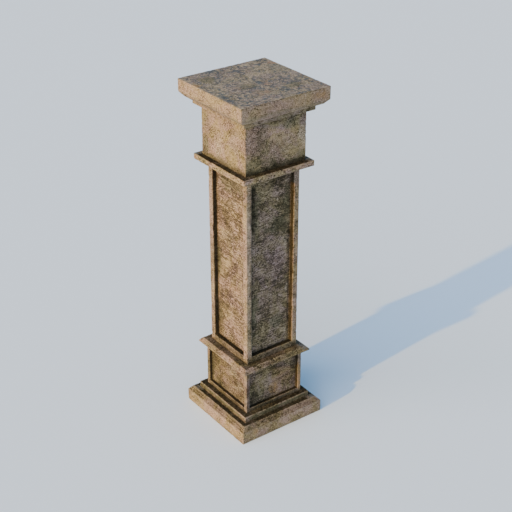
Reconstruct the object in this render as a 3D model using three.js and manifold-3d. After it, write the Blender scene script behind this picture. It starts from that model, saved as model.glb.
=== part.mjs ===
// A weathered square stone column, about 7.2 m tall: seven stones stacked on thin beds.
// From the ground up they are a stepped plinth, a panelled die, a lower band, a tall panelled
// shaft, an upper band, a plain capital block and an abacus, which is the plinth turned over.
// Millimetres, +Z up, with the origin at the centre of the plinth's underside.

import * as THREE from "three";
import { mergeVertices } from "three/addons/utils/BufferGeometryUtils.js";
import Module from "manifold-3d";

const wasm = await Module();
wasm.setup();

// Bed between one stone and the next
const bedGap = 0.3;

// Plinth: a slab, a chamfer, a flat ledge and a step. Widths are across the flats.
const plinthWidth = 2010;
const plinthSlabHeight = 252;
const plinthChamferRun = 87;
const plinthChamferHeight = 97;
const plinthStepWidth = 1634;
const plinthStepHeight = 121;

// Die: a block with a sunk panel on each side
const dieWidth = 1396;
const dieHeight = 1015;
const diePanel = { strip: 80, depth: 66, bottomRail: 83, topRail: 80 };

// Lower band: a short upright nose, then a chamfer up to a flat ledge
const lowerBandWidth = 1640;
const lowerBandNoseHeight = 26;
const lowerBandChamferRun = 65;
const lowerBandChamferHeight = 71;

// Shaft: a tall block with a sunk panel on each side
const shaftWidth = 1244;
const shaftHeight = 4026;
const shaftPanel = { strip: 120, depth: 100, bottomRail: 135, topRail: 120 };

// Upper band: a plain slab
const upperBandWidth = 1634;
const upperBandHeight = 113;

// Capital block: a plain block
const capitalWidth = 1396;
const capitalHeight = 1007;

// Abacus: a bed mould, a flat soffit, a chamfer and a slab
const bedMouldWidth = 1634;
const bedMouldHeight = 121;
const abacusWidth = 2010;
const abacusChamferRun = 87;
const abacusChamferHeight = 97;
const abacusSlabHeight = 252;

// One vertex at each corner, and no triangle without area
function weld(geometry) {
  geometry.deleteAttribute("normal");
  geometry.deleteAttribute("uv");
  const welded = mergeVertices(geometry, 0.001);
  const kept = [];
  const index = welded.index.array;
  for (let i = 0; i < index.length; i += 3) {
    const [a, b, c] = index.subarray(i, i + 3);
    if (a !== b && b !== c && c !== a) kept.push(a, b, c);
  }
  welded.setIndex(kept);
  return welded;
}

// A solid of square section, made by a four-sided lathe through [width, height] points. The
// lathe runs through the corners, half a width times the root of two from the axis.
function squareStone(profile) {
  const corners = profile.map(([width, height]) => new THREE.Vector2(width / Math.SQRT2, height));
  const foot = new THREE.Vector2(0, corners[0].y);
  const head = new THREE.Vector2(0, corners.at(-1).y);
  const lathe = new THREE.LatheGeometry([foot, ...corners, head], 4, Math.PI / 4);
  return weld(lathe.rotateX(Math.PI / 2));
}

function toSolid(geometry) {
  const vertProperties = new Float32Array(geometry.attributes.position.array);
  const triVerts = new Uint32Array(geometry.index.array);
  return new wasm.Manifold(new wasm.Mesh({ numProp: 3, vertProperties, triVerts }));
}

function toGeometry(solid) {
  const { vertProperties, triVerts } = solid.getMesh();
  const geometry = new THREE.BufferGeometry();
  geometry.setAttribute("position", new THREE.BufferAttribute(vertProperties, 3));
  geometry.setIndex(new THREE.BufferAttribute(triVerts, 1));
  return geometry;
}

// A square block with one sunk panel on each of its four sides
function panelledStone(width, height, panel) {
  const opening = height - panel.bottomRail - panel.topRail;
  const middle = panel.bottomRail + opening / 2;
  let stone = toSolid(squareStone([[width, 0], [width, height]]));
  for (let side = 0; side < 4; side += 1) {
    const sinking = new THREE.BoxGeometry(2 * panel.depth, width - 2 * panel.strip, opening);
    sinking.translate(width / 2, 0, middle).rotateZ((side * Math.PI) / 2);
    stone = stone.subtract(toSolid(weld(sinking)));
  }
  return toGeometry(stone);
}

function plinth() {
  const chamferTop = plinthSlabHeight + plinthChamferHeight;
  const ledgeWidth = plinthWidth - 2 * plinthChamferRun;
  return squareStone([
    [plinthWidth, 0],
    [plinthWidth, plinthSlabHeight],
    [ledgeWidth, chamferTop],
    [plinthStepWidth, chamferTop],
    [plinthStepWidth, chamferTop + plinthStepHeight],
  ]);
}

function lowerBand() {
  return squareStone([
    [lowerBandWidth, 0],
    [lowerBandWidth, lowerBandNoseHeight],
    [lowerBandWidth - 2 * lowerBandChamferRun, lowerBandNoseHeight + lowerBandChamferHeight],
  ]);
}

function abacus() {
  const slabBottom = bedMouldHeight + abacusChamferHeight;
  const soffitWidth = abacusWidth - 2 * abacusChamferRun;
  return squareStone([
    [bedMouldWidth, 0],
    [bedMouldWidth, bedMouldHeight],
    [soffitWidth, bedMouldHeight],
    [abacusWidth, slabBottom],
    [abacusWidth, slabBottom + abacusSlabHeight],
  ]);
}

const stones = [
  ["plinth", plinth(), 0xa58f73],
  ["die", panelledStone(dieWidth, dieHeight, diePanel), 0x95806a],
  ["lower_band", lowerBand(), 0xa58c6c],
  ["shaft", panelledStone(shaftWidth, shaftHeight, shaftPanel), 0x8d7a63],
  ["upper_band", squareStone([[upperBandWidth, 0], [upperBandWidth, upperBandHeight]]), 0xb39b80],
  ["capital_block", squareStone([[capitalWidth, 0], [capitalWidth, capitalHeight]]), 0xa18b71],
  ["abacus", abacus(), 0xaa967e],
];

// Each stone stands on the one before it, a bed apart
const column = new THREE.Group();
let bedHeight = 0;
for (const [name, geometry, color] of stones) {
  const stone = new THREE.Mesh(
    geometry,
    new THREE.MeshStandardMaterial({ color, roughness: 0.92, metalness: 0 }),
  );
  stone.name = name;
  stone.position.z = bedHeight;
  column.add(stone);
  geometry.computeBoundingBox();
  bedHeight += geometry.boundingBox.max.z + bedGap;
}

export default column;
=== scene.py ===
import math

import bpy
import mathutils
import numpy as np
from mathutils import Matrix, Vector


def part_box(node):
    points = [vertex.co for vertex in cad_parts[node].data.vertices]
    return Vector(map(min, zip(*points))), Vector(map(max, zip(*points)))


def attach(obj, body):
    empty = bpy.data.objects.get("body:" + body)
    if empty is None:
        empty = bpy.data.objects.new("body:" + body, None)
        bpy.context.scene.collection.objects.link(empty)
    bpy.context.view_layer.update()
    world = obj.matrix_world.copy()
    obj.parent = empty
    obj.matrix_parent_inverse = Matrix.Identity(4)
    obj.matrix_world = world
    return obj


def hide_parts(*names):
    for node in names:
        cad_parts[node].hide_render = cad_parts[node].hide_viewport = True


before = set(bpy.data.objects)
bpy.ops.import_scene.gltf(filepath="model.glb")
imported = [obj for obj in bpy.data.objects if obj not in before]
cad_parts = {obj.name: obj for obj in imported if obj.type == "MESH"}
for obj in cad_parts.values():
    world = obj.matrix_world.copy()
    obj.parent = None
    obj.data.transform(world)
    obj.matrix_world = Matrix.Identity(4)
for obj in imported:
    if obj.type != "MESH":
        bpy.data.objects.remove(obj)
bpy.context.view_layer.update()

print("frame loaded:", len(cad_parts), "stones")


# Noise

turnEachOctave = np.array([[0.36, 0.48, -0.80], [-0.80, 0.60, 0.00], [0.48, 0.64, 0.60]])
farOff = 9.0  # metres, more than lies between any two points of the column


def latticeNoise(points, cell, seed):
    # smooth noise from -1 to 1: a random value at each corner of a cubic lattice, blended
    # between the corners along each axis by 3t^2 - 2t^3
    side = 48
    shift = 0.37 * side  # keeps the lattice's corners off the column's axis
    table = np.random.default_rng(seed).uniform(-1, 1, (side, side, side))
    place = points / cell + shift
    corner = np.floor(place).astype(int)
    t = place - corner
    t = t * t * (3 - 2 * t)
    total = np.zeros(len(points))
    for step in np.ndindex(2, 2, 2):
        share = np.prod(np.where(step, t, 1 - t), axis=1)
        i, j, k = ((corner + step) % side).T
        total += share * table[i, j, k]
    return total


def layeredNoise(points, cell, octaves, seed, fade=0.5):
    # lattice noise summed over octaves, each turned, half as large and weaker by fade
    points = points @ turnEachOctave
    total, strength, reach = np.zeros(len(points)), 1.0, 0.0
    for octave in range(octaves):
        total += strength * latticeNoise(points, cell, seed + octave)
        reach += strength
        points, cell, strength = points @ turnEachOctave, cell / 2, strength * fade
    return total / reach


def ease(values, low, high):
    # 0 below low, 1 above high, and 3t^2 - 2t^3 between
    t = np.clip((values - low) / (high - low), 0, 1)
    return t * t * (3 - 2 * t)


# Stones: a profile carried round a square

cornerSteps = 3  # round each upright corner
bedRing = 0.03  # metres, the ring of small faces at the edge of a hidden bed


def halfWidthOf(node):
    # every stone is square and centred on the axis, so its far corner gives its half width
    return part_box(node)[1][0]


def softProfile(corners):
    # corners are (halfWidth, height, softness, spacing to the next corner, kind). Each corner is
    # rounded by the curve (1-t)^2 A + 2t(1-t) C + t^2 B, with A and B a softness away from it, and
    # the stretches between are divided at their spacing. Gives the points of the profile, and how
    # far each lies from the nearest arris and from the nearest nook, along the profile.
    spots = np.array([corner[:2] for corner in corners], float)
    rows = [spots[0]]
    bends = {"arris": [], "nook": []}
    for i in range(1, len(corners)):
        soft, kind = corners[i][2], corners[i][4]
        start, spot = rows[-1], spots[i]
        inward = (spot - start) / np.linalg.norm(spot - start)
        end = spot - inward * soft
        count = max(1, round(np.linalg.norm(end - start) / corners[i - 1][3]))
        rows += [start + (end - start) * n / count for n in range(1, count + 1)]
        if kind:
            bends[kind].append(len(rows) - (0 if soft else 1))  # the curve's first point, or the corner
        if soft:
            onward = (spots[i + 1] - spot) / np.linalg.norm(spots[i + 1] - spot)
            leave = spot + onward * soft
            rows += [(1 - t) ** 2 * end + 2 * t * (1 - t) * spot + t * t * leave
                     for t in (1 / 3, 2 / 3, 1)]
    rows = np.array(rows)
    length = np.concatenate([[0], np.cumsum(np.linalg.norm(np.diff(rows, axis=0), axis=1))])
    arris, nook = (np.abs(length[:, None] - np.append(length[bends[kind]], farOff)).min(axis=1)
                   for kind in ("arris", "nook"))
    return rows, arris, nook


def wallSection(panel):
    # the wall of a sunk panel in section: how far in from the panel's edge, and how deep
    inset = np.array([-1, -0.3, 0.15, 0.5, 0.85, 1.3, 2]) * panel["lip"]
    drop = np.array([0, 0.05, 0.2, 0.5, 0.8, 0.95, 1]) * panel["depth"]
    return inset, drop


def panelRows(halfWidth, low, high, panel):
    # extra profile points up a panelled side, close together at the foot and head of the panel
    inset = wallSection(panel)[0]
    foot = [low + panel["bottomRail"] + step for step in inset]
    head = [high - panel["topRail"] - step for step in inset[::-1]]
    undivided = [1.0] * (len(inset) - 1)  # the short stretches across the wall
    spacing = undivided + [panel["spacing"]] + undivided + [panel["railSpacing"]]
    return [(halfWidth, height, 0, gap, "") for height, gap in zip(foot + head, spacing)]


def sideLines(halfWidth, look):
    # where the upright lines of one side stand, from its middle
    flat = halfWidth - look["soft"]
    if "panel" not in look:
        return np.linspace(-flat, flat, round(2 * flat / look["spacing"]) + 1)
    panel = look["panel"]
    wall = halfWidth - panel["strip"] - wallSection(panel)[0]
    outer = np.linspace(flat, wall[0], round((flat - wall[0]) / panel["railSpacing"]) + 1)
    inner = np.linspace(wall[-1], 0, round(wall[-1] / panel["spacing"]) + 1)
    half = np.concatenate([outer, wall[1:], inner[1:-1]])
    return np.concatenate([-half, [0], half[::-1]])


def panelInset(along, heights, low, high, halfWidth, panel):
    # how far each point lies inside the nearest edge of its panel, less than 0 outside
    sides = halfWidth - panel["strip"] - np.abs(along)
    ends = np.minimum(heights - low - panel["bottomRail"], high - panel["topRail"] - heights)
    return np.minimum(sides, ends)


def sideGrid(look, rows, low, high, halfWidth):
    # One side, and the corner at its right-hand end. A point of the side that faces -Y is
    # (along, -out): along runs between the corners, out is the half width less the panel's depth,
    # and the corner is a quarter circle. Inset is how far the point lies inside its panel's edge.
    lines = sideLines(halfWidth, look)
    width, height = rows[:, :1], rows[:, 1:]
    radius = np.minimum(look["soft"], width / 2)
    flat = width - radius
    along = flat * lines / np.abs(lines).max()
    out = np.repeat(width, len(lines), axis=1)
    inset = np.full(along.shape, -farOff)
    if "panel" in look:
        inset = panelInset(along, height, low, high, halfWidth, look["panel"])
        onFace = np.abs(width - halfWidth) < 1e-6
        out = out - np.where(onFace, np.interp(inset, *wallSection(look["panel"])), 0)
    turns = np.linspace(0, math.pi / 2, cornerSteps + 1)[1:-1]
    along = np.concatenate([along, flat + radius * np.sin(turns)], axis=1)
    out = np.concatenate([out, flat + radius * np.cos(turns)], axis=1)
    inset = np.concatenate([inset, np.full((len(rows), len(turns)), -farOff)], axis=1)
    return along, out, inset


def buildStone(node, look, corners):
    # A row of points for each point of the profile, round all four sides, which are quarter turns
    # of one. The facts tell the weather of each point: its normal, its distance from the nearest
    # arris and nook, and whether it is in a panel, on a panel's wall or foot rail, or hidden by
    # the next stone.
    low, high = (corner[2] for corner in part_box(node))
    halfWidth = halfWidthOf(node)
    rows, arris, nook = softProfile(corners(look, halfWidth, low, high))
    width, height = rows[:, :1], rows[:, 1:]
    along, out, inset = sideGrid(look, rows, low, high, halfWidth)
    quarters = [(along, -out), (out, along), (-along, out), (-out, -along)]
    flatGrid = np.concatenate([np.stack(side, axis=2) for side in quarters], axis=1)
    columns = flatGrid.shape[1]
    grid = np.concatenate([flatGrid, np.repeat(height, columns, 1)[..., None]], axis=2)
    along, inset = np.tile(along, 4), np.tile(inset, 4)

    around = np.roll(grid, -1, axis=1) - np.roll(grid, 1, axis=1)
    normal = np.cross(around, np.gradient(grid, axis=0))
    normal /= np.maximum(np.linalg.norm(normal, axis=2, keepdims=True), 1e-12)
    steep = np.abs(np.gradient(rows[:, 1])) / np.linalg.norm(np.gradient(rows, axis=0), axis=1)
    cornerArris = width - np.minimum(np.abs(along), width) + farOff * (steep[:, None] < 0.3)
    rail, wall, panelEdge = np.zeros(inset.shape), np.zeros(inset.shape), np.abs(inset)
    if "panel" in look:
        panel = look["panel"]
        panelEdge[inset > panel["lip"]] = farOff
        between = ease(halfWidth - panel["strip"] - np.abs(along), -0.01, 0.01)
        rail = between * (height < low + panel["bottomRail"]) * (inset < 0.001)
        wall = ease(inset, -0.001, 0.001) * (1 - ease(inset, 1.4 * panel["lip"], 2 * panel["lip"]))
    facts = {
        "place": grid.reshape(-1, 3), "normal": normal.reshape(-1, 3), "low": low, "high": high,
        "arris": np.minimum(arris[:, None], np.minimum(cornerArris, panelEdge)).ravel(),
        "nook": np.minimum(nook[:, None], np.where(inset > 0, inset, farOff)).ravel(),
        "inPanel": ease(inset, 0, 0.02).ravel(), "rail": rail.ravel(), "wall": wall.ravel(),
        "hidden": np.repeat(rows[:, 0] < look["covered"], columns),
    }
    return grid.shape[:2], facts


def closedMesh(name, shape, points, footAndHead):
    # quads between the rows, and a fan to one point at the foot and at the head
    rows, columns = shape
    index = np.arange(rows * columns).reshape(rows, columns)
    across = np.roll(index, -1, axis=1)
    quads = np.stack([index[:-1], across[:-1], across[1:], index[1:]], axis=2).reshape(-1, 4)
    foot, head = rows * columns, rows * columns + 1
    bottom = np.stack([across[0], index[0], np.full(columns, foot)], axis=1)
    top = np.stack([index[-1], across[-1], np.full(columns, head)], axis=1)
    fans = np.concatenate([bottom, top])
    points = np.concatenate([points, footAndHead])
    corners = np.concatenate([quads.ravel(), fans.ravel()])
    sizes = np.concatenate([np.full(len(quads), 4), np.full(len(fans), 3)])
    mesh = bpy.data.meshes.new(name)
    mesh.vertices.add(len(points))
    mesh.vertices.foreach_set("co", points.ravel())
    mesh.loops.add(len(corners))
    mesh.loops.foreach_set("vertex_index", corners)
    mesh.polygons.add(len(sizes))
    mesh.polygons.foreach_set("loop_start", np.concatenate([[0], np.cumsum(sizes)[:-1]]))
    mesh.update(calc_edges=True)
    mesh.polygons.foreach_set("use_smooth", np.ones(len(sizes), bool))
    mesh.validate()
    return mesh


# Weathering

sideAxes = {
    # for each side, the way to its right as seen from outside, the way up it and the way it faces
    "-X": ((0, -1, 0), (0, 0, 1), (-1, 0, 0)), "-Y": ((1, 0, 0), (0, 0, 1), (0, -1, 0)),
    "+X": ((0, 1, 0), (0, 0, 1), (1, 0, 0)), "+Y": ((-1, 0, 0), (0, 0, 1), (0, 1, 0)),
    "top": ((1, 0, 0), (0, 1, 0), (0, 0, 1)),
}
everySide = "-X -Y +X +Y"
spotKinds = ("dirt", "moss", "ochre", "slate", "pale", "rust", "grey")

weatherOfAll = {
    # a stone's own dictionary may give others. Reaches are metres, chip is the depth of a chip in
    # metres, covered is the half width that the next stone hides, spots and grooves are listed one
    # by one, and the rest are strengths.
    "rough": 0.4, "panelRough": 1.0, "chip": 0.008, "wear": 0.4, "wearReach": 0.02, "washReach": 0.011,
    # the darkening in nooks, on ledges and on the panels' walls is partly dirt and partly painted shade
    "dirtReach": 0.03, "slopeDirt": 0.50, "ledgeDirt": 0.96, "railDirt": 0.62, "wallDirt": 1.0,
    "footDirt": 0.0, "footReach": 0.1, "topDirt": 0.0, "moss": 0.3, "mossReach": 0.15, "topCrust": 0.0,
    "covered": 0.0, "spots": (), "grooves": (),
}
# metres: the cells of each noise, and how deep each form goes
reliefSize = {"swell": 0.5, "grain": 0.046, "pits": 0.048, "nicks": 0.05, "chips": 0.09}
reliefDepth = {"swell": 0.0015, "grain": 0.0022, "pits": 0.0045, "nicks": 0.004, "scores": 0.0045}
mostProud = 0.004  # metres that the relief may stand out


def cutLine(offset, width):
    # a bell curve where the line is cut, less a weaker one just below it, where its lip is painted pale as
    # a highlight
    return np.exp(-(offset / width) ** 2) - 0.6 * np.exp(-(offset / width + 1.9) ** 2)


def scoredLines(facts, lines, seed):
    # Long shallow scores across a sunk panel. Each is cut along a height that rises or falls a
    # little, and fades out at both ends.
    place, normal = facts["place"], facts["normal"]
    acrossX = np.abs(normal[:, 1]) > np.abs(normal[:, 0])
    along = np.where(acrossX, place[:, 0], place[:, 1])
    side = np.where(acrossX, 2 + np.sign(normal[:, 1]), 5 + np.sign(normal[:, 0]))
    chance = np.random.default_rng(seed)
    wander = lines["wander"] * latticeNoise(place, 0.3, seed)
    depth = np.zeros(len(place))
    for number in np.unique(side):
        for n in range(lines["count"]):
            height = chance.uniform(facts["low"] + 0.2, facts["high"] - 0.2)
            middle, reach = chance.uniform(-0.35, 0.35), chance.uniform(0.15, 0.6)
            slope, strength = chance.normal(0, 0.03), chance.uniform(0.3, 0.9)
            offset = place[:, 2] - height - slope * along + wander
            ends = 1 - ease(np.abs(along - middle), 0.6 * reach, reach)
            depth += cutLine(offset, lines["width"]) * ends * strength * (side == number)
    return depth * facts["inPanel"]


def groovedLines(facts, grooves, seed):
    # Level grooves listed as (side, height above the foot, half width, strength). Each is cut along
    # a height that wanders, and is broken here and there by a noise.
    place = facts["place"]
    wander = 0.004 * latticeNoise(place, 0.25, seed)
    broken = ease(layeredNoise(place, 0.2, 3, seed + 1), -0.6, 0.1)
    depth = np.zeros(len(place))
    for side, rise, halfWidth, strength in grooves:
        facing = ease(facts["normal"] @ sideAxes[side][2], 0.5, 0.7)
        offset = place[:, 2] - facts["low"] - rise + wander
        depth += strength * cutLine(offset, halfWidth) * facing * broken
    return depth


def spotMask(facts, spots, wanted, seed):
    # Soft-edged spots of one kind. Each is (kind, sides, how far right of the side's middle, how
    # far above the stone's foot, half width, half height, strength), and on the top the fourth is
    # how far towards +Y. The distance from its middle in shares of its size is made ragged by a
    # noise and eased from 1 inside to 0 outside.
    place = facts["place"] - (0, 0, facts["low"])
    mask = np.zeros(len(place))
    chosen = [spot[1:] for spot in spots if spot[0] == wanted]
    ragged = layeredNoise(place, 0.12, 4, seed, 0.75) if chosen else mask
    for sides, along, rise, halfWidth, halfHeight, strength in chosen:
        for side in sides.split():
            right, upward, outward = sideAxes[side]
            distance = np.hypot((place @ right - along) / halfWidth, (place @ upward - rise) / halfHeight)
            facing = ease(facts["normal"] @ outward, 0.3, 0.6)
            mask = np.maximum(mask, strength * facing * (1 - ease(distance + 1.1 * ragged, 0.35, 1.2)))
    return mask


def makeRelief(facts, look, rough, seed):
    # Relief in metres along the normal: broad swells and a grain, less pits and small nicks where
    # a noise passes a limit, chips where one does near an arris, and scores and grooves. The second
    # value is painted shading of the same forms, from -0.4 to 1: painted shade in the hollows and on
    # the level walls of the panels, and a painted highlight on raised grain and on the lip of a score.
    place, size, depth = facts["place"], reliefSize, reliefDepth
    drawnOut = place * (0.8, 0.8, 1.3)
    swell = layeredNoise(place, size["swell"], 2, seed)
    grain = layeredNoise(drawnOut, size["grain"], 2, seed + 10, 0.7)
    pits = ease(layeredNoise(drawnOut, size["pits"], 2, seed + 20), 0.34, 0.66) * rough
    nicks = ease(layeredNoise(place, size["nicks"], 2, seed + 25), 0.58, 0.76)
    chips = ease(layeredNoise(place, size["chips"], 3, seed + 30, 0.6), 0.2, 0.55)
    chips = chips * np.exp(-(facts["arris"] / 0.016) ** 2)
    score = scoredLines(facts, look["scores"], seed + 40) if "scores" in look else 0 * rough
    score = score + groovedLines(facts, look["grooves"], seed + 45)
    relief = depth["swell"] * swell + depth["grain"] * rough * grain
    relief = relief - depth["pits"] * pits - depth["nicks"] * nicks - look["chip"] * chips
    relief = np.minimum(relief - depth["scores"] * np.clip(score, 0, 1), mostProud)
    paintedReliefShading = 0.45 * pits - 0.2 * rough * grain + 0.6 * nicks + 0.9 * score + 0.4 * chips
    level = ease(facts["normal"][:, 2], 0.5, 0.8)
    paintedReliefShading = np.clip(np.maximum(paintedReliefShading, 0.9 * facts["wall"] * level), -0.4, 1)
    return np.where(facts["hidden"], 0, relief), paintedReliefShading


def makeDirtAndShade(facts, look, blotch, seed):
    # The most of seven darkenings at each point: in nooks, falling off as e to the minus distance,
    # on ledges, on slopes, on the foot rail and the walls of a sunk panel, and near the foot and the
    # head of an upright face. Those in nooks, on ledges and on the panels' walls are partly dirt and
    # partly painted shade; the rest are dirt. Noises make each of them uneven.
    place, up = facts["place"], facts["normal"][:, 2]
    upright = 1 - ease(np.abs(up), 0.5, 0.8)
    level = ease(up, 0.8, 0.97)
    slope = ease(up, 0.3, 0.6) * (1 - level)
    fromTop, fromFoot = facts["high"] - place[:, 2], place[:, 2] - facts["low"]
    drip = layeredNoise(place * (1, 1, 0.22), 0.13, 3, seed, 0.6)
    return np.clip(np.max([
        np.exp(-facts["nook"] / look["dirtReach"]) * (0.85 + 0.7 * blotch),
        look["ledgeDirt"] * level * (1 + 0.35 * blotch),
        look["slopeDirt"] * slope * (0.9 + 0.8 * blotch),
        look["railDirt"] * facts["rail"] * (0.95 + 0.5 * blotch),
        look["wallDirt"] * facts["wall"] * (1 + 0.25 * blotch),
        look["footDirt"] * upright * np.exp(-fromFoot / look["footReach"]) * (0.8 + 0.9 * drip),
        look["topDirt"] * upright * ease(drip + 0.9 * np.exp(-fromTop / 0.25), 0.35, 0.95),
    ], axis=0), 0, 1)


def weather(facts, look):
    # Gives the relief, and the attributes that the material reads, each of three masks. The dirt
    # mask also carries painted shade in nooks, on ledges and on the panels' walls. Dirt and moss are
    # thinner where the arrises are washed clean, and dirt is thinner on slate spots.
    seed = look["seed"]
    place, up = facts["place"], facts["normal"][:, 2]
    spot = {kind: spotMask(facts, look["spots"], kind, seed + 80 + 5 * n)
            for n, kind in enumerate(spotKinds)}
    rough = look["rough"] + (look["panelRough"] - look["rough"]) * facts["inPanel"]
    relief, paintedReliefShading = makeRelief(facts, look, rough, seed)
    blotch = layeredNoise(place, 0.32, 4, seed + 50, 0.6)
    # dirt spots, with the darkening in nooks, on ledges and on the panels' walls that is partly painted
    # shade
    dirt = np.maximum(makeDirtAndShade(facts, look, blotch, seed + 60), spot["dirt"])
    washed = np.exp(-(facts["arris"] / look["washReach"]) ** 2) * (1 - facts["wall"])
    washed *= ease(layeredNoise(place, 0.15, 3, seed + 65), -0.7, 0.1)
    dirt *= (1 - 0.85 * np.clip(spot["slate"], 0, 1)) * (1 - 0.65 * washed)
    upright = 1 - ease(np.abs(up), 0.5, 0.8)
    footGrowth = np.exp(-(place[:, 2] - facts["low"]) / look["mossReach"]) * upright
    growth = 0.8 * layeredNoise(place, 0.2, 4, seed + 65, 0.65) + 0.75 * footGrowth + 0.5 * facts["rail"]
    moss = np.maximum(look["moss"] * ease(growth, 0.15, 0.75), spot["moss"]) * (1 - 0.5 * washed)
    wear = look["wear"] * np.exp(-(facts["arris"] / look["wearReach"]) ** 2)
    wear *= ease(layeredNoise(place, 0.12, 3, seed + 70), -0.3, 0.4)
    crust = look["topCrust"] * ease(up, 0.8, 0.95)
    masks = {
        "growth": (dirt, moss, wear * (1 - dirt)), "surface": (rough, paintedReliefShading, facts["inPanel"]),
        "patches": (spot["ochre"], spot["slate"], spot["pale"]),
        "stains": (crust, spot["rust"], spot["grey"]),
    }
    return relief, {name: np.stack(three, axis=1) for name, three in masks.items()}


def makeStone(node, ownLook, corners):
    # builds the stone from its profile, weathers it, and puts it in place of its node
    look = {**weatherOfAll, **ownLook}
    shape, facts = buildStone(node, look, corners)
    relief, attributes = weather(facts, look)
    points = facts["place"] + facts["normal"] * relief[:, None]
    mesh = closedMesh(node + "_stone", shape, points, [[0, 0, facts["low"]], [0, 0, facts["high"]]])
    for name, values in attributes.items():
        layer = mesh.attributes.new(name, "FLOAT_VECTOR", "POINT")
        layer.data.foreach_set("vector", np.concatenate([values, values[[0, -1]]]).ravel())
    mesh.materials.append(stoneMaterial(look["finish"], look["tones"]))
    stone = bpy.data.objects.new(node + "_stone", mesh)
    bpy.context.collection.objects.link(stone)
    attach(stone, "root")
    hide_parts(node)
    print(node, "made, with", len(mesh.loops) - 2 * len(mesh.polygons), "triangles")


# Shader groups

socketKinds = {"number": "NodeSocketFloat", "color": "NodeSocketColor", "vector": "NodeSocketVector"}


def newGroup(name, inputs, outputs):
    # each input has a kind of socket or a number to start from, and each output has a kind
    tree = bpy.data.node_groups.new(name, "ShaderNodeTree")
    for title, given in inputs.items():
        kind = given if given in socketKinds else "number"
        socket = tree.interface.new_socket(title, in_out="INPUT", socket_type=socketKinds[kind])
        if given not in socketKinds:
            socket.default_value = given
    for title, kind in outputs.items():
        tree.interface.new_socket(title, in_out="OUTPUT", socket_type=socketKinds[kind])
    return tree, tree.nodes.new("NodeGroupInput").outputs, tree.nodes.new("NodeGroupOutput").inputs


def put(tree, socket, value):
    if isinstance(value, bpy.types.NodeSocket):
        tree.links.new(value, socket)
    else:
        socket.default_value = value


def placeGroup(tree, group, given):
    node = tree.nodes.new("ShaderNodeGroup")
    node.node_tree = group
    for title, value in given.items():
        put(tree, node.inputs[title], value)
    return node.outputs


def noiseNode(tree, vector, scale, detail=2.0, roughness=0.5, distortion=0.0):
    node = tree.nodes.new("ShaderNodeTexNoise")
    given = {"Vector": vector, "Scale": scale, "Detail": detail, "Roughness": roughness,
             "Distortion": distortion}
    for title, value in given.items():
        put(tree, node.inputs[title], value)
    return node.outputs[0]


def rangeNode(tree, value, low, high, toLow=0.0, toHigh=1.0, kind="SMOOTHSTEP"):
    node = tree.nodes.new("ShaderNodeMapRange")
    node.interpolation_type = kind
    for socket, given in zip(node.inputs, (value, low, high, toLow, toHigh)):
        put(tree, socket, given)
    return node.outputs[0]


def mathNode(tree, operation, first, second=0.0, third=0.0, clamp=False):
    node = tree.nodes.new("ShaderNodeMath")
    node.operation, node.use_clamp = operation, clamp
    for socket, given in zip(node.inputs, (first, second, third)):
        put(tree, socket, given)
    return node.outputs[0]


def product(tree, first, second):
    return mathNode(tree, "MULTIPLY", first, second)


def mixColor(tree, share, first, second, blend="MIX"):
    node = tree.nodes.new("ShaderNodeMix")
    node.data_type, node.blend_type = "RGBA", blend
    put(tree, node.inputs[0], share)
    put(tree, node.inputs[6], first)  # sockets 6 and 7 are the two for colours
    put(tree, node.inputs[7], second)
    return node.outputs[2]  # the one that gives a colour


def shaded(tree, color, shade):
    return mixColor(tree, 1.0, color, shade, "MULTIPLY")


def scaledVector(tree, vector, scale):
    node = tree.nodes.new("ShaderNodeVectorMath")
    node.operation = "MULTIPLY"
    put(tree, node.inputs[0], vector)
    put(tree, node.inputs[1], scale)
    return node.outputs[0]


def partsOf(tree, vector):
    node = tree.nodes.new("ShaderNodeSeparateXYZ")
    put(tree, node.inputs[0], vector)
    return node.outputs


def attributeVector(tree, name):
    node = tree.nodes.new("ShaderNodeAttribute")
    node.attribute_name = name
    return node.outputs["Vector"]


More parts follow.
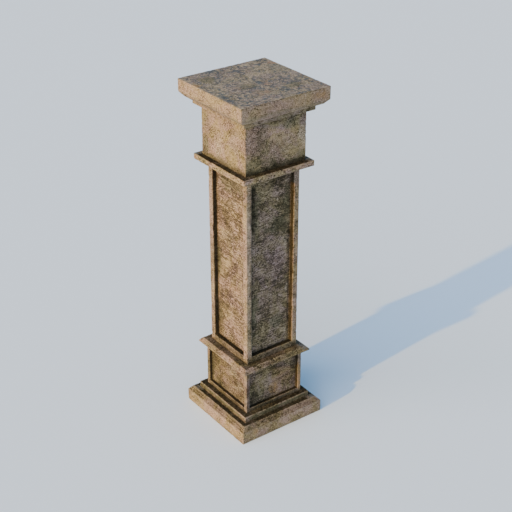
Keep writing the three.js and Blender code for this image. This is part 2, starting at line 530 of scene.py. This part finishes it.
def grainGroup():
    # Speckle of a coarse stone. Tone runs from 0, dark, to 1, pale: a middle value, less on rough
    # stone, plus a fine and a middling noise that change from patch to patch, and a broad one, all
    # by a reach that grows with roughness and Contrast, plus level streaks in the panels, less a
    # few sparse specks. Broad is the share of the broad noise. Hue is a noise of its own, and
    # Lichen and Curl are drawn out and curled, a larger and a smaller one.
    tree, given, out = newGroup(
        "stoneGrain",
        {"Vector": "vector", "Rough": 0.5, "Streaks": 0.0, "Specks": 0.5, "Grain Scale": 40.0,
         "Patch Scale": 2.0, "Middle": 0.8, "Contrast": 1.0, "Broad": 0.4},
        {"Tone": "number", "Hue": "number", "Height": "number", "Lichen": "number", "Curl": "number"},
    )
    vector, rough = given["Vector"], given["Rough"]
    grainScale, patchScale = given["Grain Scale"], given["Patch Scale"]
    lichen = noiseNode(tree, vector, product(tree, patchScale, 1.9), 4.0, 0.62, 2.6)
    patchy = rangeNode(tree, lichen, 0.38, 0.62, 0.5, 1.5)
    flattened = scaledVector(tree, vector, (0.75, 0.75, 1.5))
    fine = noiseNode(tree, flattened, grainScale, 4.0, 0.78)
    middling = noiseNode(tree, flattened, product(tree, grainScale, 0.3), 3.0, 0.7, 0.4)
    broad = noiseNode(tree, vector, patchScale, 6.0, 0.66, 0.6)
    fineTone = product(tree, rangeNode(tree, fine, 0.42, 0.59, -1.0, 1.0), 0.85)
    middlingTone = product(tree, rangeNode(tree, middling, 0.38, 0.62, -1.0, 1.0), 0.32)
    broadTone = product(tree, rangeNode(tree, broad, 0.36, 0.64, -1.0, 1.0), given["Broad"])
    grainTone = product(tree, mathNode(tree, "ADD", fineTone, middlingTone), patchy)
    roughReach = mathNode(tree, "MULTIPLY_ADD", rough, 0.20, 0.32)
    reach = product(tree, roughReach, given["Contrast"])
    middle = mathNode(tree, "MULTIPLY_ADD", rough, -0.40, given["Middle"])
    allTone = mathNode(tree, "ADD", grainTone, broadTone)
    speckle = mathNode(tree, "MULTIPLY_ADD", allTone, reach, middle)
    layer = noiseNode(tree, scaledVector(tree, vector, (2.2, 2.2, 56.0)), 1.0, 2.0, 0.6, 0.15)
    paleStreak, darkStreak = rangeNode(tree, layer, 0.58, 0.66), rangeNode(tree, layer, 0.42, 0.34)
    streak = mathNode(tree, "SUBTRACT", paleStreak, darkStreak)
    streaks = product(tree, streak, product(tree, given["Streaks"], 0.42))
    sparse = noiseNode(tree, vector, product(tree, grainScale, 0.55), 2.0, 0.7)
    specks = product(tree, rangeNode(tree, sparse, 0.61, 0.70), given["Specks"])
    specks = product(tree, specks, rangeNode(tree, broad, 0.56, 0.44, 0.15, 1.3))
    streaked = mathNode(tree, "ADD", speckle, streaks)
    put(tree, out["Tone"], mathNode(tree, "SUBTRACT", streaked, specks, clamp=True))
    put(tree, out["Hue"], noiseNode(tree, vector, product(tree, patchScale, 1.1), 5.0, 0.6, 1.0))
    put(tree, out["Height"], fine)
    put(tree, out["Lichen"], lichen)
    put(tree, out["Curl"], noiseNode(tree, vector, product(tree, patchScale, 3.0), 3.0, 0.6, 2.4))
    return tree


def growthGroup():
    # Lays the weather over a stone's own colour: pale worn arrises, then moss, then dirt, each
    # mask made ragged by a noise wherever it is more than a trace. The dirt is partly painted shade,
    # in nooks, on ledges and on the panels' walls. Where moss and dirt lie the tone of the stone
    # still shows through, as a shade from darker to lighter.
    tree, given, out = newGroup(
        "stoneGrowth",
        {"Vector": "vector", "Color": "color", "Tone": 0.5, "Masks": "vector", "Worn Color": "color",
         "Moss Color": "color", "Dirt Color": "color", "Ragged": 1.0},
        {"Color": "color"},
    )
    dirt, moss, wear = partsOf(tree, given["Masks"])
    noise = noiseNode(tree, given["Vector"], 22.0, 4.0, 0.7)
    ragged = product(tree, mathNode(tree, "SUBTRACT", noise, 0.5), given["Ragged"])
    shade = mathNode(tree, "MULTIPLY_ADD", given["Tone"], 1.1, 0.45)
    mossColor, dirtColor = (shaded(tree, given[key], shade) for key in ("Moss Color", "Dirt Color"))
    color = given["Color"]
    for mask, tint in ((wear, given["Worn Color"]), (moss, mossColor), (dirt, dirtColor)):
        near = product(tree, rangeNode(tree, mask, 0.0, 0.3), rangeNode(tree, mask, 1.3, 0.8))
        share = mathNode(tree, "MULTIPLY_ADD", ragged, near, mask, clamp=True)
        color = mixColor(tree, share, color, tint)
    put(tree, out["Color"], color)
    return tree


# Materials

def tone(red, green, blue):
    return (red, green, blue, 1.0)


stoneTones = {
    # scene-linear colours. Olive, pink, grey and crust are tints that the stone's colour is
    # multiplied by.
    "dark": tone(0.044, 0.034, 0.020), "middle": tone(0.184, 0.132, 0.080),
    "pale": tone(0.328, 0.246, 0.170), "bleached": tone(0.30, 0.235, 0.16),
    "olive": tone(0.98, 1.0, 0.77), "pink": tone(1.035, 0.965, 1.10), "hueShare": 1.0,
    "grey": tone(0.98, 0.95, 1.10), "crust": tone(0.98, 1.05, 1.24),
    "ochre": tone(0.25, 0.155, 0.075), "rust": tone(0.25, 0.155, 0.10),
    "slate": tone(0.088, 0.092, 0.091), "lichen": tone(0.118, 0.110, 0.078),
    "worn": tone(0.25, 0.20, 0.145), "moss": tone(0.094, 0.083, 0.045),
    # dirt also colours the painted shade in nooks, on ledges and on the panels' walls
    "dirt": tone(0.020, 0.0155, 0.0078),
    "grainScale": 40.0, "patchScale": 2.0, "middleTone": 0.85, "contrast": 1.0, "broad": 0.4,
    "specks": 0.6, "bump": 0.35, "bumpHeight": 0.006, "gloss": 0.06,
}
crustBands = (
    # the noise, where the band begins and where it is full, its colour and its most
    ("Lichen", 0.56, 0.61, "rust", 0.25), ("Lichen", 0.62, 0.68, "bleached", 0.2),
    ("Lichen", 0.47, 0.41, "lichen", 0.3), ("Lichen", 0.41, 0.35, "slate", 0.35),
    ("Curl", 0.53, 0.59, "bleached", 1.0), ("Curl", 0.47, 0.41, "slate", 1.0),
)


def ownColor(tree, tones, value, hue, grey):
    # from dark through middle to pale by the tone, tinted from olive to pink, and greyed
    color = mixColor(tree, rangeNode(tree, value, 0.0, 0.55, kind="LINEAR"), tones["dark"], tones["middle"])
    color = mixColor(tree, rangeNode(tree, value, 0.55, 1.0, kind="LINEAR"), color, tones["pale"])
    tint = mixColor(tree, rangeNode(tree, hue, 0.38, 0.62), tones["olive"], tones["pink"])
    color = mixColor(tree, tones["hueShare"], color, tint, "MULTIPLY")
    return mixColor(tree, grey, color, tones["grey"], "MULTIPLY")


def crustColor(tree, tones, color, crust, speckle, shade):
    # the crust of the top: a cooler tint, bands of other colours, shaded by the tone, and a thin
    # slate line where the lichen noise is near 0.53
    color = mixColor(tree, crust, color, tones["crust"], "MULTIPLY")
    for noise, low, high, key, most in crustBands:
        share = product(tree, crust, rangeNode(tree, speckle[noise], low, high, 0.0, most))
        color = mixColor(tree, share, color, shaded(tree, tones[key], shade))
    fromLine = mathNode(tree, "ABSOLUTE", mathNode(tree, "SUBTRACT", speckle["Lichen"], 0.53))
    line = product(tree, crust, rangeNode(tree, fromLine, 0.022, 0.004, 0.0, 0.7))
    return mixColor(tree, line, color, tones["slate"])


def stoneMaterial(name, ownTones):
    # The grain gives the tone, darker in the painted shade of the relief's hollows and lighter on its
    # painted highlights, and calmer under the crust. The colour is the stone's own, then the crust of
    # the top, then the spots, made ragged by the lichen noise, and last what grows and gathers on the
    # stone, whose dirt is partly painted shade in nooks, on ledges and on the panels' walls.
    tones = {**stoneTones, **ownTones}
    material = bpy.data.materials.new(name)
    material.use_nodes = True
    tree = material.node_tree
    shader = tree.nodes["Principled BSDF"]
    coords = tree.nodes.new("ShaderNodeTexCoord").outputs["Object"]
    rough, paintedReliefShading, inPanel = partsOf(tree, attributeVector(tree, "surface"))
    ochre, slate, pale = partsOf(tree, attributeVector(tree, "patches"))
    crust, rust, grey = partsOf(tree, attributeVector(tree, "stains"))
    speckle = placeGroup(tree, grain, {
        "Vector": coords, "Rough": rough, "Streaks": inPanel, "Specks": tones["specks"],
        "Grain Scale": tones["grainScale"], "Patch Scale": tones["patchScale"],
        "Middle": tones["middleTone"], "Contrast": tones["contrast"], "Broad": tones["broad"],
    })
    # the relief's painted shade and painted highlights laid into the tone
    value = mathNode(tree, "MULTIPLY_ADD", paintedReliefShading, -0.45, speckle["Tone"], clamp=True)
    calm = mathNode(tree, "MULTIPLY_ADD", value, -0.3, 0.19)
    value = mathNode(tree, "MULTIPLY_ADD", crust, calm, value)
    shade = mathNode(tree, "MULTIPLY_ADD", value, 1.1, 0.3)
    color = ownColor(tree, tones, value, speckle["Hue"], grey)
    color = crustColor(tree, tones, color, crust, speckle, shade)
    uneven = rangeNode(tree, speckle["Lichen"], 0.42, 0.54, 0.25, 1.25)
    for mask, key in ((ochre, "ochre"), (rust, "rust"), (slate, "slate"), (pale, "bleached")):
        share = mathNode(tree, "MULTIPLY", mask, uneven, clamp=True)
        color = mixColor(tree, share, color, shaded(tree, tones[key], shade))
    grown = placeGroup(tree, growth, {
        "Vector": coords, "Color": color, "Tone": value, "Masks": attributeVector(tree, "growth"),
        "Worn Color": tones["worn"], "Moss Color": tones["moss"], "Dirt Color": tones["dirt"],
    })
    put(tree, shader.inputs["Base Color"], grown["Color"])
    put(tree, shader.inputs["Roughness"], rangeNode(tree, value, 0.2, 0.9, 0.97, 0.84))
    shader.inputs["Specular IOR Level"].default_value = tones["gloss"]
    bump = tree.nodes.new("ShaderNodeBump")
    bump.inputs["Strength"].default_value = tones["bump"]
    bump.inputs["Distance"].default_value = tones["bumpHeight"]
    put(tree, bump.inputs["Height"], speckle["Height"])
    put(tree, shader.inputs["Normal"], bump.outputs[0])
    return material


grain, growth = grainGroup(), growthGroup()
print("shader groups made")


# Plinth: slab, chamfer, ledge and step

plinthLook = {
    "seed": 100, "finish": "plinthStone", "tones": {"contrast": 1.2, "middleTone": 0.86},
    "slabHeight": 0.252, "chamferRun": 0.087, "chamferHeight": 0.097, "stepInset": 0.188,
    "soft": 0.008, "spacing": 0.016, "covered": 0.67, "wear": 0.75,
    "dirtReach": 0.06, "moss": 0.5, "mossReach": 0.05,
    "spots": (
        ("moss", everySide, 0.0, 0.41, 1.6, 0.07, 0.85), ("dirt", everySide, 0.0, 0.39, 1.6, 0.05, 0.4),
        ("moss", "-X", 0.0, 0.41, 1.6, 0.06, 1.15),
        ("dirt", "-Y +X +Y", 0.0, 0.40, 1.6, 0.06, 0.42), ("ochre", "-Y", -0.72, 0.20, 0.10, 0.08, 0.8),
        ("dirt", "-X", 0.2, 0.335, 0.9, 0.012, 0.6), ("dirt", "-X", 0.0, 0.285, 1.1, 0.012, 0.45),
        ("moss", "-Y", -0.80, 0.30, 0.09, 0.07, 0.9), ("moss", "-X", -0.5, 0.12, 0.2, 0.1, 0.35),
        ("rust", "-X", -0.6, 0.09, 0.12, 0.06, 0.25), ("dirt", "-Y", 0.0, 0.30, 1.6, 0.06, 0.5),
        ("slate", "top", 0.84, -0.86, 0.14, 0.07, 1.0), ("slate", "top", -0.86, 0.84, 0.07, 0.14, 1.0),
    ),
    "grooves": (("-X", 0.278, 0.006, 1.0), ("-X", 0.312, 0.006, 1.0), ("-Y", 0.300, 0.005, 0.5)),
}


def plinthCorners(look, halfWidth, low, high):
    # out along the foot, up the slab, in along the chamfer and ledge, up the step, in over the bed
    ledge = low + look["slabHeight"] + look["chamferHeight"]
    step = halfWidth - look["stepInset"]
    die = halfWidthOf("die")
    return [
        (0.3, low, 0, 0.2, ""), (halfWidth, low, 0.006, 0.018, "arris"),
        (halfWidth, low + look["slabHeight"], 0.007, 0.006, "arris"),
        (halfWidth - look["chamferRun"], ledge, 0.006, 0.016, "arris"),
        (step, ledge, 0.006, 0.016, "nook"), (step, high, 0.007, 0.016, "arris"),
        (die, high, 0, 0.03, "nook"), (die - bedRing, high, 0, 0.25, ""), (0.15, high, 0, 0.2, ""),
    ]


makeStone("plinth", plinthLook, plinthCorners)


# Die: pedestal block with a sunk panel on each side

dieLook = {
    "seed": 200, "finish": "dieStone", "tones": {"contrast": 1.05, "broad": 0.6},
    "panel": {"strip": 0.080, "depth": 0.066, "bottomRail": 0.083, "topRail": 0.080, "lip": 0.004,
              "spacing": 0.012, "railSpacing": 0.014},
    "soft": 0.006, "covered": 0.66, "dirtReach": 0.045, "railDirt": 0.72, "moss": 0.5, "mossReach": 0.1,
    "spots": (
        ("moss", "-X", -0.58, 0.43, 0.10, 0.50, 0.8), ("dirt", "-X", -0.50, 0.45, 0.18, 0.45, 0.5),
        ("dirt", "-X", 0.0, 0.5, 2.0, 2.0, 0.34), ("dirt", "-Y", 0.0, 0.5, 2.0, 2.0, 0.2),
        ("dirt", "-Y", -0.66, 0.5, 0.06, 0.8, 0.65), ("moss", "-X", 0.62, 0.3, 0.1, 0.5, 0.4),
        ("pale", "-X", 0.12, 0.66, 0.18, 0.12, 0.8), ("pale", "-X", 0.40, 0.45, 0.16, 0.12, 0.9),
        ("pale", "-X", 0.20, 0.34, 0.16, 0.08, 0.6), ("dirt", "-X", -0.33, 0.62, 0.12, 0.10, 0.4),
        ("dirt", "-X", 0.0, 0.12, 0.8, 0.08, 0.45), ("moss", "-X", -0.3, 0.15, 0.4, 0.12, 0.5),
        ("grey", "-X", 0.27, 0.20, 0.26, 0.10, 0.5), ("grey", "-X", 0.33, 0.65, 0.14, 0.14, 0.5),
        ("ochre", "-Y", 0.03, 0.30, 0.12, 0.13, 0.9), ("dirt", "-Y", -0.45, 0.23, 0.20, 0.20, 0.6),
        ("ochre", "-Y", 0.66, 0.25, 0.05, 0.30, 1.2), ("grey", "-Y", -0.65, 0.5, 0.06, 0.5, 0.8),
        ("moss", "-Y", -0.45, 0.25, 0.22, 0.22, 0.5), ("rust", "-Y", 0.30, 0.50, 0.25, 0.20, 0.3),
        ("dirt", "-Y", 0.56, 0.73, 0.12, 0.25, 0.75), ("dirt", "-Y", 0.55, 0.2, 0.12, 0.15, 0.5),
        ("moss", everySide, 0.0, 0.04, 0.9, 0.05, 0.6),
    ),
}


def blockCorners(look, halfWidth, low, high):
    # a plain upright side between two beds, with the panel's rows where there is a panel
    rows = panelRows(halfWidth, low, high, look["panel"]) if "panel" in look else []
    gap = look["panel"]["railSpacing"] if "panel" in look else look["spacing"]
    inner = halfWidth - bedRing
    return [
        (0.2, low, 0, 0.25, ""), (inner, low, 0, 0.04, ""), (halfWidth, low, 0.003, gap, "nook"), *rows,
        (halfWidth, high, 0.003, 0.04, "nook"), (inner, high, 0, 0.25, ""), (0.2, high, 0, 0.2, ""),
    ]


makeStone("die", dieLook, blockCorners)


# Lower band: upright nose, chamfer and flat ledge

lowerBandLook = {
    "seed": 300, "finish": "lowerBandStone",
    "tones": {"contrast": 1.25, "specks": 0.8, "middleTone": 0.87},
    "noseHeight": 0.026, "chamferRun": 0.065, "soft": 0.007, "spacing": 0.014, "covered": 0.60,
    "rough": 0.5, "dirtReach": 0.05, "slopeDirt": 0.24, "ledgeDirt": 0.70, "moss": 0.45, "mossReach": 0.03,
    "spots": (
        ("dirt", "-Y +X +Y", 0.0, 0.06, 1.2, 0.12, 0.48), ("moss", "-Y", 0.35, 0.05, 0.2, 0.1, 0.5),
        ("dirt", "-Y", -0.1, 0.06, 0.25, 0.08, 0.6), ("pale", "-Y", 0.17, 0.05, 0.10, 0.05, 0.5),
        ("rust", "-X", -0.74, 0.04, 0.08, 0.05, 1.0), ("slate", "top", 0.70, -0.62, 0.10, 0.22, 1.0),
    ),
}


def lowerBandCorners(look, halfWidth, low, high):
    # out along the underside, up the nose, in along the chamfer, and over the ledge and the bed
    shaft, die = halfWidthOf("shaft"), halfWidthOf("die")
    return [
        (0.2, low, 0, 0.25, ""), (die, low, 0, 0.02, "nook"), (halfWidth, low, 0.006, 0.006, "arris"),
        (halfWidth, low + look["noseHeight"], 0.006, 0.012, "arris"),
        (halfWidth - look["chamferRun"], high, 0.006, 0.014, "arris"),
        (shaft, high, 0, 0.03, "nook"), (shaft - bedRing, high, 0, 0.25, ""), (0.15, high, 0, 0.2, ""),
    ]


makeStone("lower_band", lowerBandLook, lowerBandCorners)


# Shaft: tall block with a sunk panel on each side

shaftLook = {
    "seed": 400, "finish": "shaftStone",
    "tones": {"middleTone": 0.83, "contrast": 1.05, "broad": 0.5, "hueShare": 0.75},
    "panel": {"strip": 0.120, "depth": 0.100, "bottomRail": 0.135, "topRail": 0.120, "lip": 0.004,
              "spacing": 0.0165, "railSpacing": 0.018},
    "soft": 0.006, "covered": 0.58, "rough": 0.44,
    "dirtReach": 0.04, "railDirt": 0.54, "moss": 0.4, "mossReach": 0.12,
    "spots": (
        ("rust", "-X", -0.47, 2.80, 0.07, 0.70, 0.55), ("rust", "-X", -0.46, 1.20, 0.06, 0.25, 0.45),
        ("rust", "-X", 0.36, 3.00, 0.07, 0.45, 0.5), ("moss", "-X", -0.46, 1.95, 0.09, 0.40, 0.8),
        ("moss", "-X", -0.44, 0.75, 0.09, 0.40, 0.6), ("moss", "-X", 0.00, 3.72, 0.60, 0.22, 0.7),
        ("dirt", "-X", 0.00, 3.86, 0.60, 0.14, 0.55), ("dirt", "-X", 0.00, 1.67, 0.25, 0.10, 0.25),
        ("dirt", "-X", -0.20, 2.95, 0.10, 0.14, 0.35), ("pale", "-X", -0.05, 2.60, 0.22, 0.20, 0.4),
        ("pale", "-X", 0.05, 3.30, 0.25, 0.12, 0.3), ("grey", "-X", 0.0, 1.8, 2.0, 4.0, 0.45),
        ("grey", "-X", 0.10, 2.30, 0.25, 0.35, 0.9), ("grey", "-X", -0.05, 1.10, 0.22, 0.35, 0.9),
        ("dirt", "-Y", -0.44, 3.30, 0.12, 0.70, 0.8), ("dirt", "-Y", -0.47, 1.60, 0.08, 1.60, 0.7),
        ("moss", "-Y", -0.36, 3.20, 0.16, 0.60, 0.7), ("moss", "-Y", -0.40, 1.00, 0.14, 0.55, 0.7),
        ("dirt", "-Y", 0.30, 2.84, 0.34, 0.14, 0.55), ("moss", "-Y", 0.25, 2.86, 0.36, 0.22, 0.75),
        ("dirt", "-Y", 0.10, 3.75, 0.40, 0.12, 0.45), ("moss", "-Y", 0.18, 0.67, 0.20, 0.22, 0.7),
        ("dirt", "-Y", 0.47, 1.90, 0.06, 1.90, 0.6), ("moss", "-Y", 0.42, 3.20, 0.10, 0.60, 0.7),
        ("pale", "-Y", 0.40, 2.40, 0.06, 0.30, 0.6), ("pale", "-Y", 0.42, 1.40, 0.05, 0.16, 1.1),
        ("pale", "-Y", 0.40, 0.33, 0.06, 0.20, 1.1), ("grey", "-Y", 0.00, 2.10, 0.40, 0.90, 0.9),
        ("dirt", "-Y", -0.57, 2.35, 0.05, 0.16, 0.4), ("pale", "-Y", -0.57, 2.2, 0.06, 2.2, 0.5),
        ("dirt", "-Y", -0.57, 0.45, 0.05, 0.40, 0.15), ("dirt", "-Y", 0.0, 2.0, 1.2, 4.0, 0.1),
        ("rust", "-X", 0.05, 1.45, 0.30, 0.12, 0.4), ("dirt", "-X", 0.15, 2.0, 0.25, 0.06, 0.3),
        ("dirt", "-Y +X +Y", 0.0, 0.06, 1.2, 0.08, 0.6),
    ),
    "scores": {"count": 26, "width": 0.011, "wander": 0.010},
    "grooves": (
        ("-X", 3.48, 0.012, 1.0), ("-X", 3.40, 0.010, 0.9), ("-X", 2.92, 0.012, 0.9),
        ("-X", 1.80, 0.012, 1.0), ("-X", 1.74, 0.010, 0.8), ("-X", 2.15, 0.010, 0.7),
        ("-Y", 2.62, 0.012, 0.8), ("-Y", 1.95, 0.012, 0.7),
    ),
}

makeStone("shaft", shaftLook, blockCorners)


# Upper band: plain slab

upperBandLook = {
    "seed": 500, "finish": "upperBandStone",
    "tones": {"middleTone": 0.84, "contrast": 1.5, "broad": 0.25, "specks": 0.9},
    "soft": 0.007, "spacing": 0.014, "covered": 0.60,
    "rough": 0.45, "dirtReach": 0.05, "moss": 0.3, "mossReach": 0.03,
    "spots": (
        ("rust", "-X", -0.76, 0.05, 0.08, 0.05, 1.0), ("ochre", "-Y", 0.40, 0.09, 0.35, 0.03, 0.6),
        ("rust", "-Y", 0.45, 0.05, 0.12, 0.04, 0.6), ("moss", "-X", -0.5, 0.08, 0.12, 0.05, 0.6),
        ("slate", "top", 0.76, -0.68, 0.09, 0.24, 1.2), ("slate", "top", -0.72, 0.76, 0.18, 0.09, 1.1),
    ),
}


def upperBandCorners(look, halfWidth, low, high):
    # out along the underside, up the plain edge, and in over the ledge and the hidden bed
    capital, shaft = halfWidthOf("capital_block"), halfWidthOf("shaft")
    return [
        (0.2, low, 0, 0.25, ""), (shaft, low, 0, 0.02, "nook"), (halfWidth, low, 0.006, 0.012, "arris"),
        (halfWidth, high, 0.006, 0.014, "arris"), (capital, high, 0, 0.03, "nook"),
        (capital - bedRing, high, 0, 0.25, ""), (0.15, high, 0, 0.2, ""),
    ]


makeStone("upper_band", upperBandLook, upperBandCorners)


# Capital block

capitalLook = {
    "seed": 600, "finish": "capitalStone",
    "tones": {"middleTone": 0.90, "contrast": 1.35, "broad": 0.25, "specks": 0.9},
    "soft": 0.006, "spacing": 0.0125, "covered": 0.66, "rough": 0.65, "wear": 0.15, "topDirt": 0.18,
    "dirtReach": 0.05, "footDirt": 0.75, "footReach": 0.07, "moss": 0.4, "mossReach": 0.12,
    "spots": (
        ("moss", "-X", -0.60, 0.20, 0.16, 0.22, 0.8), ("moss", "-X", 0.0, 0.03, 0.9, 0.09, 0.7),
        ("dirt", "-X", -0.20, 0.03, 0.5, 0.05, 0.45), ("moss", "-X", -0.55, 0.75, 0.18, 0.20, 0.4),
        ("pale", "-X", -0.14, 0.28, 0.14, 0.24, 0.8), ("pale", "-X", 0.40, 0.60, 0.2, 0.3, 0.35),
        ("pale", "-Y", 0.62, 0.55, 0.12, 0.20, 1.1), ("dirt", "-Y", 0.0, 0.00, 3.0, 0.12, 0.8),
        ("moss", "-Y", 0.0, 0.03, 2.0, 0.16, 0.8), ("moss", "-Y", -0.4, 0.18, 0.5, 0.12, 0.6),
        ("dirt", "-X", 0.45, 0.02, 0.45, 0.10, 0.6), ("dirt", "-X", -0.6, 0.05, 0.25, 0.12, 0.5),
        ("dirt", "-Y", -0.36, 0.50, 0.08, 0.50, 0.3), ("moss", "-Y", -0.30, 0.48, 0.16, 0.50, 0.4),
        ("moss", "-Y", 0.58, 0.12, 0.16, 0.14, 0.7), ("dirt", "-Y", 0.0, 0.97, 0.9, 0.08, 0.4),
        ("moss", "-Y", 0.30, 0.85, 0.16, 0.14, 0.6), ("grey", "-Y", 0.05, 0.53, 0.30, 0.35, 0.8),
        ("pale", "-Y", 0.05, 0.40, 0.40, 0.22, 0.4),
    ),
}

makeStone("capital_block", capitalLook, blockCorners)


# Abacus: bed mould, soffit, chamfer and slab

abacusLook = {
    "seed": 700, "finish": "abacusStone",
    "tones": {"contrast": 1.2, "broad": 0.15, "specks": 0.7, "hueShare": 0.65},
    "mouldInset": 0.188, "mouldHeight": 0.121, "chamferRun": 0.087, "chamferHeight": 0.097,
    "soft": 0.008, "spacing": 0.017, "chip": 0.004, "rough": 0.35, "wear": 0.2, "topCrust": 1.0,
    "dirtReach": 0.04, "slopeDirt": 0.0, "ledgeDirt": 0.0, "moss": 0.3, "mossReach": 0.05,
    "spots": (
        ("ochre", "-Y", 0.76, 0.35, 0.24, 0.12, 0.9), ("rust", "-Y", 0.88, 0.29, 0.08, 0.06, 1.2),
        ("dirt", "-Y", 0.0, 0.468, 2.0, 0.02, 0.75), ("grey", "-Y", -0.2, 0.34, 0.7, 0.14, 0.45),
        ("ochre", "-Y", -0.1, 0.33, 1.0, 0.15, 0.25), ("dirt", "-Y", 0.0, 0.34, 1.6, 0.3, 0.07),
        ("moss", "-Y", -0.3, 0.24, 0.6, 0.04, 0.5),
        ("moss", "-X", 0.0, 0.20, 1.2, 0.06, 0.35), ("rust", "-X", -0.93, 0.36, 0.08, 0.08, 0.3),
        ("rust", "top", 0.93, 0.70, 0.08, 0.12, 1.2), ("pale", "top", 0.29, 0.34, 0.16, 0.14, 1.1),
        ("moss", "top", 0.29, 0.34, 0.05, 0.04, 0.6), ("pale", "top", -0.07, 0.04, 0.15, 0.10, 0.9),
        ("slate", "top", -0.12, -0.32, 0.09, 0.16, 1.0), ("slate", "top", 0.06, -0.08, 0.10, 0.16, 1.0),
        ("rust", "top", 0.12, -0.20, 0.10, 0.14, 0.6), ("moss", "top", -0.21, -0.13, 0.18, 0.14, 0.5),
        ("moss", "top", 0.50, -0.55, 0.20, 0.14, 0.55), ("slate", "top", 0.58, -0.40, 0.16, 0.10, 0.6),
        ("slate", "top", 0.26, -0.65, 0.10, 0.14, 0.8), ("pale", "top", 0.84, 0.26, 0.14, 0.26, 0.3),
        ("slate", "top", 0.84, 0.40, 0.12, 0.20, 0.5), ("ochre", "top", -0.95, 0.47, 0.07, 0.16, 0.8),
        ("moss", "top", -0.62, 0.58, 0.16, 0.22, 0.65), ("slate", "top", -0.55, 0.38, 0.12, 0.14, 0.5),
        ("slate", "top", -0.37, 0.94, 0.14, 0.09, 0.9), ("slate", "top", 0.82, 0.93, 0.14, 0.09, 0.8),
        ("slate", "top", -0.95, -0.50, 0.10, 0.30, 0.8), ("rust", "top", -0.96, -0.64, 0.06, 0.08, 0.9),
        ("rust", "top", -0.24, -0.52, 0.18, 0.14, 0.5), ("slate", "top", 0.10, 0.62, 0.10, 0.12, 0.5),
    ),
}


def abacusCorners(look, halfWidth, low, high):
    # out along the foot, up the bed mould, out along soffit and chamfer, up the slab, in over the top
    mould, capital = halfWidth - look["mouldInset"], halfWidthOf("capital_block")
    soffit = low + look["mouldHeight"]
    return [
        (0.2, low, 0, 0.25, ""), (capital, low, 0, 0.02, "nook"), (mould, low, 0.007, 0.014, "arris"),
        (mould, soffit, 0.005, 0.016, "nook"),
        (halfWidth - look["chamferRun"], soffit, 0.006, 0.016, "arris"),
        (halfWidth, soffit + look["chamferHeight"], 0.008, 0.016, "arris"),
        (halfWidth, high, 0.008, 0.017, "arris"), (0.02, high, 0, 0.02, ""),
    ]


makeStone("abacus", abacusLook, abacusCorners)


# Floor, light and camera

studio = {
    "floorSize": 400.0, "floorHeight": -0.001, "floorColor": tone(0.80, 0.86, 0.92),
    "skyColor": tone(0.207, 0.446, 0.748), "skyStrength": 1.0,
    "lamps": {
        # a low warm sun, and a broad soft light from the same side
        "sun": {"color": (1.0, 0.64, 0.15), "strength": 5.92, "angle": 1.2,
                "azimuth": 186.0, "elevation": 15.0},
        "soft": {"color": (0.935, 0.941, 1.0), "strength": 4.59, "angle": 90.0,
                 "azimuth": 194.0, "elevation": 20.0},
    },
    "lampDistance": 30.0,
}


def makeFloor():
    half, height = studio["floorSize"] / 2, studio["floorHeight"]
    corners = [(x * half, y * half, height) for x, y in ((-1, -1), (1, -1), (1, 1), (-1, 1))]
    mesh = bpy.data.meshes.new("floor")
    mesh.from_pydata(corners, [], [(0, 1, 2, 3)])
    material = bpy.data.materials.new("paleFloor")
    material.use_nodes = True
    shader = material.node_tree.nodes["Principled BSDF"]
    shader.inputs["Base Color"].default_value = studio["floorColor"]
    shader.inputs["Roughness"].default_value = 1.0
    shader.inputs["Specular IOR Level"].default_value = 0.0
    mesh.materials.append(material)
    floor = bpy.data.objects.new("floor", mesh)
    bpy.context.collection.objects.link(floor)


def direction(azimuth, elevation):
    # a unit vector that points to that azimuth, counted from +X towards +Y, and elevation
    turn, rise = math.radians(azimuth), math.radians(elevation)
    return np.array([math.cos(turn) * math.cos(rise), math.sin(turn) * math.cos(rise), math.sin(rise)])


def lookRotation(back, roll=0.0):
    # a camera or lamp looks along its own -Z, so its Z axis is the way back
    right = np.cross([0, 0, 1], back)
    right /= np.linalg.norm(right)
    up = np.cross(back, right)
    turned = math.cos(roll) * right + math.sin(roll) * up
    return np.stack([turned, np.cross(back, turned), back], axis=1)


def place(item, location, rotation):
    matrix = np.eye(4)
    matrix[:3, :3], matrix[:3, 3] = rotation, location
    item.matrix_world = mathutils.Matrix(matrix.tolist())


def makeLamp(name, color, strength, angle, azimuth, elevation):
    lamp = bpy.data.lights.new(name, "SUN")
    lamp.energy, lamp.color, lamp.angle = strength, color, math.radians(angle)
    holder = bpy.data.objects.new(name, lamp)
    bpy.context.collection.objects.link(holder)
    back = direction(azimuth, elevation)
    place(holder, back * studio["lampDistance"], lookRotation(back))


def makeLight():
    for name, lamp in studio["lamps"].items():
        makeLamp(name + "Light", **lamp)
    world = bpy.data.worlds.new("dimSky")
    world.use_nodes = True
    sky = world.node_tree.nodes["Background"]
    sky.inputs["Color"].default_value = studio["skyColor"]
    sky.inputs["Strength"].default_value = studio["skyStrength"]
    bpy.context.scene.world = world


cameraView = {
    "azimuth": -36.254, "elevation": 28.343, "roll": -0.058, "distance": 22.276, "targetHeight": 3.582,
    "focalPixels": 1124.1, "imagePixels": 512, "principalShift": -2.25, "farthest": 1000,
}


def makeCamera():
    # azimuth 0 looks along +Y, so the way back is (sin a cos e, -cos a cos e, sin e)
    look = cameraView
    back = direction(look["azimuth"] - 90, look["elevation"])
    lens = bpy.data.cameras.new("view")
    lens.lens = look["focalPixels"] / look["imagePixels"] * lens.sensor_width
    lens.shift_x = -look["principalShift"] / look["imagePixels"]
    lens.clip_end = look["farthest"]
    camera = bpy.data.objects.new("view", lens)
    bpy.context.collection.objects.link(camera)
    target = np.array([0, 0, look["targetHeight"]])
    place(camera, target + back * look["distance"], lookRotation(back, math.radians(look["roll"])))
    bpy.context.scene.camera = camera


makeFloor()
makeLight()
makeCamera()
bpy.context.scene.view_settings.view_transform = "AgX"
print("floor, light and camera made")
